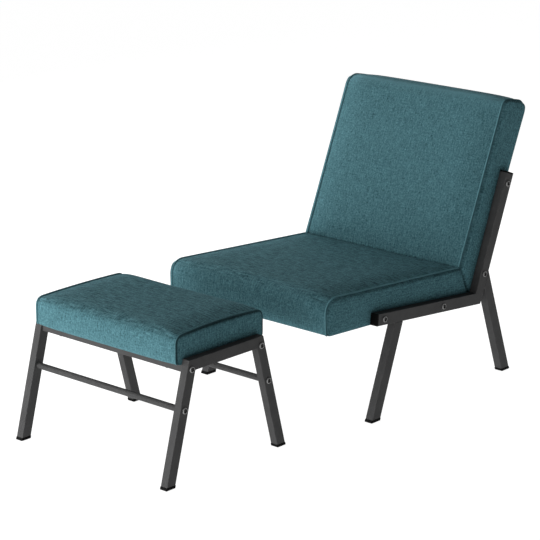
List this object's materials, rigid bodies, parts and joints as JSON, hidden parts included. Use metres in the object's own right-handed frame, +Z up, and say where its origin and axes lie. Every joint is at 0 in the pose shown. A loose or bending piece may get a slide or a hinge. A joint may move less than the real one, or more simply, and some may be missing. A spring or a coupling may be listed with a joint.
{
  "type": "accent chair with ottoman",
  "caption": "Low armless lounge chair with a reclined back on splayed rectangular-tube side frames, and a matching free-standing footrest, both with piped teal fabric pads.",
  "frame": {"origin": "on the floor, in the middle of the box of the chair and ottoman together", "axes": "+Z up, +Y from the ottoman towards the chair's back, +X to the right as seen from in front of the chair"},
  "size_m": [0.6236, 1.3876, 0.7687],
  "materials": {
    "frame_metal": "satin charcoal powder coat",
    "cap_plastic": "moulded black",
    "bolt_steel": "turned, dulled zinc",
    "teal_fabric": "heathered plain weave with self piping",
    "timber": "planed, unfinished",
    "plywood": "sanded, unfinished",
    "lining": "black non-woven dust cover"
  },
  "bodies": {
    "chair": {"back_bolt_low_left": "bolt_steel", "back_bolt_low_right": "bolt_steel", "back_bolt_top_left": "bolt_steel", "back_bolt_top_right": "bolt_steel", "back_cushion": "teal_fabric", "back_frame": "timber", "back_upright_left": "frame_metal", "back_upright_right": "frame_metal", "front_foot_cap_left": "cap_plastic", "front_foot_cap_right": "cap_plastic", "front_leg_left": "frame_metal", "front_leg_right": "frame_metal", "rail_front_cap_left": "cap_plastic", "rail_front_cap_right": "cap_plastic", "rear_foot_cap_left": "cap_plastic", "rear_foot_cap_right": "cap_plastic", "rear_leg_left": "frame_metal", "rear_leg_right": "frame_metal", "seat_bolt_front_left": "bolt_steel", "seat_bolt_front_right": "bolt_steel", "seat_bolt_rear_left": "bolt_steel", "seat_bolt_rear_right": "bolt_steel", "seat_cushion": "teal_fabric", "seat_deck": "plywood", "seat_dust_cover": "lining", "seat_frame": "timber", "seat_rail_left": "frame_metal", "seat_rail_right": "frame_metal", "upright_top_cap_left": "cap_plastic", "upright_top_cap_right": "cap_plastic"},
    "ottoman": {"ottoman_board": "plywood", "ottoman_board_screw_front_left": "bolt_steel", "ottoman_board_screw_front_right": "bolt_steel", "ottoman_board_screw_rear_left": "bolt_steel", "ottoman_board_screw_rear_right": "bolt_steel", "ottoman_crossbar_bolt_front_left": "bolt_steel", "ottoman_crossbar_bolt_front_right": "bolt_steel", "ottoman_crossbar_bolt_rear_left": "bolt_steel", "ottoman_crossbar_bolt_rear_right": "bolt_steel", "ottoman_crossbar_front": "frame_metal", "ottoman_crossbar_rear": "frame_metal", "ottoman_cushion": "teal_fabric", "ottoman_dust_cover": "lining", "ottoman_front_foot_cap_left": "cap_plastic", "ottoman_front_foot_cap_right": "cap_plastic", "ottoman_front_leg_left": "frame_metal", "ottoman_front_leg_right": "frame_metal", "ottoman_rear_foot_cap_left": "cap_plastic", "ottoman_rear_foot_cap_right": "cap_plastic", "ottoman_rear_leg_left": "frame_metal", "ottoman_rear_leg_right": "frame_metal", "ottoman_stretcher_bolt_front_left": "bolt_steel", "ottoman_stretcher_bolt_front_right": "bolt_steel", "ottoman_stretcher_bolt_rear_left": "bolt_steel", "ottoman_stretcher_bolt_rear_right": "bolt_steel", "ottoman_stretcher_front": "frame_metal", "ottoman_stretcher_rear": "frame_metal", "ottoman_top_rail_left": "frame_metal", "ottoman_top_rail_right": "frame_metal"}
  },
  "joints": [
    {"name": "ottoman_slide", "type": "slide", "parent": "chair", "child": "ottoman", "axis": [0, 1, 0], "range_m": [-0.4, 0.155]}
  ]
}
